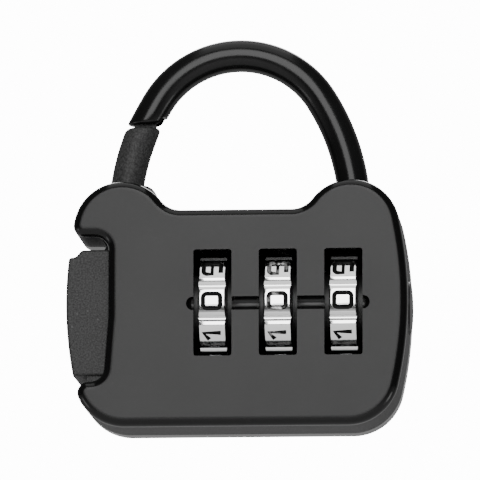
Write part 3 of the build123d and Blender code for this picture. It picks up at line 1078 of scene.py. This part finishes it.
@dataclass
class Shackle:
    """The fixed arch, from its root in the right ear over to the open tip."""

    bar_r: float = 1.9
    arch_r: float = 11.3
    arch_z: float = 33.28
    leg_r: float = 26.0
    leg_turn: float = 32.0
    root_z: float = 22.2
    tip_z: float = 36.4
    tip_run: float = 1.5  # height of the straight run above the tip
    tip_edge: float = 0.45
    cup_x: Pair = (-12.5, -6.0)  # the cup in the tip that takes the tongue
    cup_half: float = 1.1
    cup_depth: float = 0.85

    @property
    def leg(self) -> Pair:
        """Centre of the left leg's arc; the right leg's is its mirror image."""
        drop = self.leg_r - self.arch_r
        turn = math.radians(self.leg_turn)
        return (drop * math.cos(turn), self.arch_z - drop * math.sin(turn))

    def bar(self, radius: float) -> Solid:
        """A round bar along the arch's centre line, down to the level tip.

        Args:
            radius: the bar's radius.

        Returns:
            The solid.
        """
        leg_x, leg_z = self.leg
        turn = self.leg_turn
        near = math.degrees(math.asin((self.tip_z + self.tip_run - leg_z) / self.leg_r))
        bar = RoundBar(self.leg_r - leg_x, self.root_z, radius)
        bar.straight(0, leg_z - self.root_z)
        bar.bend((-leg_x, leg_z), turn, 20)
        bar.bend((0, self.arch_z), 180 - 2 * turn, 72)
        bar.bend((leg_x, leg_z), turn - near, 3)
        return bar.level(near, self.tip_z)

    def build(self) -> None:
        """Makes the shackle."""
        tip = self.tip_z
        bar = self.bar(self.bar_r)
        bar.round(lambda p: abs(p.z - tip) < NEAR and p.x < -5, self.tip_edge, 5)
        cup = Solid.block(self.cup_x, (-self.cup_half, self.cup_half), (tip - 1, tip + self.cup_depth))
        bar.cut(cup)
        bar.piece("shackle_bar", "body", "shackle_black", Finish.BAR, "shackle", edge=0.05)


@dataclass
class Gate:
    """The swinging piece: side lever, arm through the ear, and the round gate."""

    pivot: Pair = (-15.6, 4.2)
    knuckle_r: float = 1.9
    lever_half: float = 5.2
    lever_x: float = -14.6
    lever_z: Pair = (6.1, 20.95)
    step_x: Pair = (-18.9, -18.2)  # the sloping step at the lever's top outer corner
    step_h: float = 0.85
    lever_edge: float = 0.35
    gate_r: float = 1.95
    gate_z: Pair = (26.3, 34.3)
    top_z: float = 36.05
    top_edge: float = 0.6
    arm_half: float = 1.9
    neck_h: float = 2.6
    knuckle_inset: float = 0.3
    spring_gap: Pair = (1.6, 2.0)  # half length and radius of the room for the spring
    eye_r: float = 0.85
    far_x: float = -22.0
    arm_edge: float = 0.25
    arm: Sequence[Pair] = (
        (-17.3, 19.0),
        (-15.05, 22.7),
        (-15.0, 27.2),
        (-11.4, 27.2),
        (-11.7, 23.2),
        (-13.4, 20.5),
        (-14.6, 18.2),
    )
    tongue_x: Pair = (-12.4, -9.9)  # the tongue on the gate's top
    tongue_half: float = 0.8
    tongue_h: float = 0.7

    def _round_bar(self, leg: Pair, leg_r: float) -> Solid:
        """The gate's round bar, level at its top.

        Args:
            leg: centre of the arc that it follows.
            leg_r: radius of that arc.

        Returns:
            The solid.
        """
        start, end = (math.degrees(math.asin((z - leg[1]) / leg_r)) for z in self.gate_z)
        bar = RoundBar(leg[0] - leg_r, leg[1], self.gate_r)
        bar.start_at(leg, -start).bend(leg, start - end, 16)
        return bar.level(end, self.top_z).round(
            lambda p: abs(p.z - self.top_z) < NEAR, self.top_edge, 6
        )

    def _paddle(self, case: Case) -> Solid:
        """The side lever, whose outer side follows the body's bow.

        Args:
            case: the body.

        Returns:
            The solid.
        """
        low, high = self.lever_z
        step = high - self.step_h
        half, far = self.lever_half, self.far_x
        pen = Outline(self.lever_x, low)
        pen.line((self.lever_x, high), (self.step_x[1], high), (self.step_x[0], step), (far, step))
        paddle = pen.line((far, low)).slab(-half, half).trim(case.drum(-case.bow[0]))
        return paddle.round(lambda p: abs(abs(p.y) - half) < NEAR, self.lever_edge, 4)

    def build(self, case: Case, shackle: Shackle) -> None:
        """Makes the gate with its lever.

        Args:
            case: the body, whose bow the lever follows.
            shackle: the shackle, whose left leg the gate follows.
        """
        px, pz = self.pivot
        half = self.lever_half - self.knuckle_inset
        sides = (px - self.knuckle_r, px + self.knuckle_r)
        knuckle = Solid.rod((px, -half, pz), (px, half, pz), (self.knuckle_r,) * 2)
        neck = Solid.block(sides, (-half, half), (pz, pz + self.neck_h))
        arm = Outline(*self.arm[0]).line(*self.arm[1:]).slab(-self.arm_half, self.arm_half)
        arm.round(lambda p: abs(abs(p.y) - self.arm_half) < NEAR, self.arm_edge, 2)
        across, up = (-self.tongue_half, self.tongue_half), (self.top_z - 1, self.top_z + self.tongue_h)
        tongue = Solid.block(self.tongue_x, across, up)
        width, radius = self.spring_gap
        gap = Solid.rod((px, -width, pz), (px, width, pz), (radius,) * 2)
        eye = Solid.rod((px, -6, pz), (px, 6, pz), (self.eye_r,) * 2, 40)
        whole = self._paddle(case).join(knuckle, neck).cut(gap, eye)
        whole.join(arm, self._round_bar(shackle.leg, shackle.leg_r), tongue)
        whole.piece("gate_and_lever", "gate_lever", "gate_black", Finish.GATE, "gate_lever", edge=0.05)


@dataclass
class Button:
    """The oval reset button in the right side."""

    half_y: float = 3.9
    half_z: float = 3.0
    y: float = -0.5
    z: float = 14.4
    proud: float = 0.2
    gap: float = 0.15
    stem_r: float = 2.9
    stem_bore: float = 2.0
    stem_y: float = -1.2
    stem_x: Pair = (16.395, 18.2)
    head_x: Pair = (18.0, 24.0)
    bore_x: Pair = (10.0, 19.2)
    edge: float = 0.12

    def oval(self, x0: float, x1: float, grow: float = 0.0) -> Solid:
        """An oval bar along X.

        Args:
            x0: where it starts.
            x1: where it ends.
            grow: how much larger than the button it is, all round.

        Returns:
            The solid.
        """
        bar = Solid.rod((x0, 0, 0), (x1, 0, 0), (1, 1), 96)
        size = (1, self.half_y + grow, self.half_z + grow)
        bmesh.ops.scale(bar.bm, verts=bar.bm.verts, vec=size)
        return bar.moved(0, self.y, self.z)

    def build(self, case: Case) -> None:
        """Makes the button, its face bowed like the body's side.

        Args:
            case: the body.
        """
        head = self.oval(*self.head_x).trim(case.drum(case.bow[0] + self.proud))
        stem, bore = (
            Solid.rod((x0, self.stem_y, self.z), (x1, self.stem_y, self.z), (r, r))
            for (x0, x1), r in ((self.stem_x, self.stem_r), (self.bore_x, self.stem_bore))
        )
        head.join(stem).cut(bore)
        finish, edge = Finish.PAD, self.edge
        head.piece("button_oval", "reset_button", "button_black", finish, "reset_button", edge=edge)


@dataclass
class Wheels:
    """The three number wheels."""

    x0: float = -2.72
    pitch: float = 7.63
    y: float = -1.2
    z: float = 14.4
    radius: float = 6.75
    notch_r: float = 6.25
    half: float = 1.65
    tile_half: float = 1.5
    shoulder_r: float = 6.2
    tile_deg: float = 13.3
    steps: int = 12
    edge_r: float = 0.075
    hub_r: float = 3.9
    hub_half: float = 3.2
    bore_r: float = 3.45
    stroke_r: float = 0.28
    stroke_sink: float = 0.02
    stroke_box: Sequence[float] = (0.84, 1.0, 0.42)  # half width, half height, corner radius
    stroke_step: float = 0.12
    digits: int = 10

    @property
    def xs(self) -> list[float]:
        """The wheels' middles."""
        return [self.x0 + i * self.pitch for i in range(3)]

    def blank(self) -> Solid:
        """A turned wheel with its ten tiles, about the origin, its axis along Y."""
        bm = bmesh.new()
        profile = (
            (self.hub_r, -self.hub_half),
            (self.hub_r, -self.half),
            (self.shoulder_r, -self.half),
            (self.radius, -self.tile_half),
            (self.radius, self.tile_half),
            (self.shoulder_r, self.half),
            (self.hub_r, self.half),
            (self.hub_r, self.hub_half),
            (self.bore_r, self.hub_half),
        )
        first = edge = bm.verts.new((self.bore_r, -self.hub_half, 0))
        for radius, y in profile:
            edge = bmesh.ops.extrude_vert_indiv(bm, verts=[edge])["verts"][0]
            edge.co = (radius, y, 0)
        bmesh.ops.contextual_create(bm, geom=[edge, first])
        bmesh.ops.spin(
            bm,
            geom=list(bm.verts) + list(bm.edges),
            cent=(0, 0, 0),
            axis=(0, 1, 0),
            angle=2 * math.pi,
            steps=self.digits * self.steps,
            use_merge=True,
        )
        bmesh.ops.remove_doubles(bm, verts=bm.verts, dist=WELD)
        self._notch(bm)
        rim_r = self.shoulder_r - 0.1
        return Solid(bm).round(lambda p: math.hypot(p.x, p.z) > rim_r, self.edge_r, 2, 17.5)

    def _notch(self, bm: bmesh.types.BMesh) -> None:
        """Presses a V between each two tiles, whose ends widen down the sloping shoulders.

        Args:
            bm: the turned blank.
        """
        pitch = 360 / self.digits
        reach = pitch / 2 - self.tile_deg
        slope = (self.half - self.tile_half) / (self.radius - self.shoulder_r)
        for vert in bm.verts:
            radius = math.hypot(vert.co.x, vert.co.z)
            if radius < self.radius - NEAR:
                continue
            turn = math.degrees(math.atan2(vert.co.z, vert.co.x)) % pitch
            depth = (self.radius - self.notch_r) * max(0.0, 1 - abs(turn - pitch / 2) / reach)
            share = (radius - depth) / radius
            side = math.copysign(self.tile_half + depth * slope, vert.co.y)
            vert.co = (vert.co.x * share, side, vert.co.z * share)

    def strokes(self, digit: int) -> list[Outline]:
        """The strokes of a number, about its own middle.

        Args:
            digit: the number.

        Returns:
            Its strokes.
        """
        a, b, r = self.stroke_box
        pen = partial(Outline, step=self.stroke_step)
        ring = pen(-a, -b + r).line((-a, b - r)).arc((-a + r, b - r), -90)
        ring.line((a - r, b)).arc((a - r, b - r), -90).line((a, -b + r)).arc((a - r, -b + r), -90)
        ring.line((-a + r, -b)).arc((-a + r, -b + r), -90)
        loop = pen(a, 0.0).line((a, b - r)).arc((a - r, b - r), 90).line((-a + r, b))
        loop.arc((-a + r, b - r), 90).line((-a, 0.0)).line((a, 0.0))
        shapes = {
            0: [ring],
            1: [pen(-0.45, 0.35).line((0.42, b), (0.42, -b))],
            2: [
                pen(-a, b - r)
                .arc((-a + r, b - r), -90)
                .line((a - r, b))
                .arc((a - r, b - r), -120)
                .line((-a, -b), (a, -b))
            ],
            3: [
                pen(-a, b).line((a - 0.5, b)).arc((a - 0.5, b - 0.5), -180).line((-0.2, 0)),
                pen(a - 0.5, 0).arc((a - 0.5, -0.5), -180).line((-a, -b)),
            ],
            4: [pen(0.35, -b).line((0.35, b), (-a, -0.4), (a, -0.4))],
            5: [
                pen(a, b)
                .line((-a + 0.1, b), (-a + 0.1, 0.12), (a - 0.56, 0.12))
                .arc((a - 0.56, -0.44), -180)
                .line((-a, -b))
            ],
            7: [pen(-a, b).line((a, b), (-0.15, -b))],
            8: [ring, pen(-a, 0).line((a, 0))],
            9: [loop, pen(a, 0.0).line((a, -b + r)).arc((a - r, -b + r), -90).line((-a + 0.15, -b))],
        }
        if digit == 6:
            turned = self.strokes(9)
            spin = Matrix.Rotation(math.pi, 3, "Y")
            for stroke in turned:
                bmesh.ops.rotate(stroke.bm, verts=stroke.bm.verts, cent=(0, 0, 0), matrix=spin)
            return turned
        return shapes[digit]

    def _cutter(self, stroke: Outline, ink: Finish) -> Solid:
        """A round-nosed cutter that follows a stroke.

        Args:
            stroke: the stroke's centre line.
            ink: the finish that it leaves in its groove.

        Returns:
            The cutter.
        """
        mesh = bpy.data.meshes.new("stroke")
        bmesh.ops.remove_doubles(stroke.bm, verts=stroke.bm.verts, dist=WELD)
        stroke.bm.to_mesh(mesh)
        line = placed("stroke", mesh)
        bpy.ops.object.select_all(action="DESELECT")
        line.select_set(True)
        bpy.context.view_layer.objects.active = line
        bpy.ops.object.convert(target="CURVE")
        line = bpy.context.view_layer.objects.active
        line.data.bevel_depth = self.stroke_r
        line.data.bevel_resolution = 3
        line.data.use_fill_caps = True
        bm = bmesh.new()
        bm.from_mesh(baked(line))
        bmesh.ops.remove_doubles(bm, verts=bm.verts, dist=WELD)
        bpy.data.objects.remove(line)
        for face in bm.faces:
            face.material_index = 0
        return Solid(bm, ink)

    def _engraved(self, digit: int, ink: Finish) -> list[Solid]:
        """Cutters for a number, bent round the rim at its own place.

        Args:
            digit: the number.
            ink: its finish.

        Returns:
            One cutter for each stroke.
        """
        cutters = []
        for stroke in self.strokes(digit):
            cutter = self._cutter(stroke, ink)
            for vert in cutter.bm.verts:
                u, depth, v = vert.co
                out = self.radius - self.stroke_sink - depth
                turn = u / self.radius
                vert.co = (out * math.cos(turn), -v, out * math.sin(turn))
            turn = 360 / self.digits * digit
            cutters.append(cutter.face_outwards().turned(turn, "Y", (0, 0, 0)))
        return cutters

    def wheel(self, ink: Finish) -> Solid:
        """One wheel about the origin, its axis along Y and its 0 towards +X.

        Args:
            ink: the finish of its numbers.

        Returns:
            The wheel, chrome on its rim, with painted shade on its sides and hub, which take the black
            finish.
        """
        wheel = self.blank()
        wheel.finishes = [Finish.CHROME.made(), Finish.FRAME.made()]
        # Painted shade: the sides and hub, chrome like the rim, take the black finish to stand for the
        # shade that they sit in.
        for face in wheel.bm.faces:
            spot = face.calc_center_median()
            face.material_index = int(math.hypot(spot.x, spot.z) < self.shoulder_r - 0.2)
        cutters = [c for digit in range(self.digits) for c in self._engraved(digit, ink)]
        return wheel.cut(*cutters)

    def build(self) -> None:
        """Makes the three wheels, each showing its 0 at the front."""
        forward = Matrix.Rotation(-math.pi / 2, 3, "Z")
        for name, x, ink in zip(
            ("left", "middle", "right"), self.xs, (Finish.INK, Finish.WORN_INK, Finish.INK)
        ):
            made = self.wheel(ink)
            bmesh.ops.rotate(made.bm, verts=made.bm.verts, cent=(0, 0, 0), matrix=forward)
            made.moved(x, self.y, self.z)
            made.piece(
                f"wheel_{name}_numbers",
                f"wheel_{name}",
                "wheel_chrome",
                None,
                f"number_wheel_{name}",
                smooth=28.0,
            )


@dataclass
class Studio:
    """The floor, the light and the camera."""

    azimuth: float = 4.3
    elevation: float = -8.4
    distance: float = 800.0
    target: Sequence[float] = (0.0, 0.0, 22.68)
    lens: float = 511.0
    sensor: float = 36.0
    clip: Pair = (0.01, 100.0)
    floor_z: float = -240.0
    floor_half: float = 1300.0
    white: float = 14.0  # the background's strength where the camera sees it
    lamps: Sequence[tuple[str, Sequence[float], Pair, float]] = (
        ("front_box", (0, -620, 250), (420, 520), 6.9),
        ("top_box", (0, -60, 560), (420, 620), 1.6),
        ("back_box", (0, 620, 430), (420, 420), 4.0),
        ("left_card", (-420, -120, -200), (160, 120), 3.0),
        ("right_card", (420, -120, -200), (160, 120), 5.0),
    )

    def _floor(self) -> None:
        """A pale floor, far below the lock."""
        bm = bmesh.new()
        bmesh.ops.create_grid(bm, x_segments=8, y_segments=8, size=self.floor_half * MM)
        bmesh.ops.translate(bm, verts=bm.verts, vec=(0, 0, self.floor_z * MM))
        mesh = bpy.data.meshes.new("floor")
        bm.to_mesh(mesh)
        mesh.materials.append(Finish.FLOOR.made())
        placed("floor", mesh)

    def _world(self) -> None:
        """White where it is seen directly, and dimmer in reflections, except from behind."""
        world = bpy.data.worlds.new("studio")
        bpy.context.scene.world = world
        g = Graph(world)
        way = g.add("ShaderNodeTexCoord", output="Generated")
        split = g.add("ShaderNodeSeparateXYZ", None, {0: way}, "Y")
        behind = split.ramp(0.25, 0.75)
        seen = g.add("ShaderNodeLightPath", output="Is Camera Ray")
        mirrored = g.add("ShaderNodeLightPath", output="Is Glossy Ray")
        strength = 0.45 + mirrored * (0.42 * behind - 0.38)
        strength = strength + seen * (self.white - strength)
        glow = g.add("ShaderNodeBackground", None, {"Color": (1, 1, 1, 1), "Strength": strength})
        g.add("ShaderNodeOutputWorld", None, {"Surface": glow})

    def _lamp(self, name: str, place: Sequence[float], size: Pair, level: float) -> None:
        """Adds a soft box that faces the lock.

        Args:
            name: its name.
            place: its centre.
            size: its width and height.
            level: its brightness, as seen from the lock.
        """
        lamp = bpy.data.lights.new(name, "AREA")
        lamp.shape = "RECTANGLE"
        lamp.size, lamp.size_y = size[0] * MM, size[1] * MM
        lamp.energy = level * math.pi * lamp.size * lamp.size_y
        made = placed(name, lamp)
        made.location = Vector(place) * MM
        aim = (Vector(self.target) - Vector(place)).to_track_quat("-Z", "Y")
        made.rotation_euler = aim.to_euler()

    def build(self) -> None:
        """Makes the floor, world, lamps and camera."""
        self._floor()
        self._world()
        for lamp in self.lamps:
            self._lamp(*lamp)
        camera = bpy.data.cameras.new("camera")
        camera.lens = self.lens
        camera.sensor_width = self.sensor
        camera.clip_start, camera.clip_end = self.clip
        made = placed("camera", camera)
        a, e = math.radians(self.azimuth), math.radians(self.elevation)
        back = Vector((math.sin(a) * math.cos(e), -math.cos(a) * math.cos(e), math.sin(e)))
        made.location = (Vector(self.target) + back * self.distance) * MM
        made.rotation_mode = "QUATERNION"
        made.rotation_quaternion = (-back).to_track_quat("-Z", "Y")
        bpy.context.scene.camera = made


class Padlock:
    """The whole lock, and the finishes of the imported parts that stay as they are."""

    kept = {
        Finish.RIVET: ("cover_rivets",),
        Finish.STEEL: (
            "shackle_pin",
            "gate_pivot_pin",
            "gate_spring",
            "spindle",
            "spindle_clip",
            "spindle_spring",
            "thrust_washer",
            "reset_spring",
            "detent_spring",
            "detent_rivets",
        ),
        Finish.FRAME: ("inner_frame",),
        Finish.BRASS: ("clutch_sleeve_left", "clutch_sleeve_middle", "clutch_sleeve_right"),
    }

    def __init__(self) -> None:
        """Gathers the sub-assemblies."""
        self.case = Case()
        self.shackle = Shackle()
        self.gate = Gate()
        self.button = Button()
        self.wheels = Wheels()
        self.studio = Studio()

    def dress(self, nodes: dict[str, bpy.types.Object]) -> None:
        """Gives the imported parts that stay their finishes.

        Args:
            nodes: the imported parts, by name.
        """
        for finish, names in self.kept.items():
            for name in names:
                mesh = nodes[name].data
                mesh.materials.clear()
                mesh.materials.append(finish.made())
                LOG.info("%s: %s", name, finish.value.name)

    def build(self, nodes: dict[str, bpy.types.Object]) -> None:
        """Builds every piece in order.

        Args:
            nodes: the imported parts, by name.
        """
        self.dress(nodes)
        self.case.build(self)
        self.shackle.build()
        self.gate.build(self.case, self.shackle)
        self.button.build(self.case)
        self.wheels.build()
        self.studio.build()


def main() -> None:
    """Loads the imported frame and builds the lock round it."""
    logging.basicConfig(level=logging.INFO, format="%(name)s %(message)s")
    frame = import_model()
    Padlock().build(frame["nodes"])


if __name__ == "__main__":
    main()
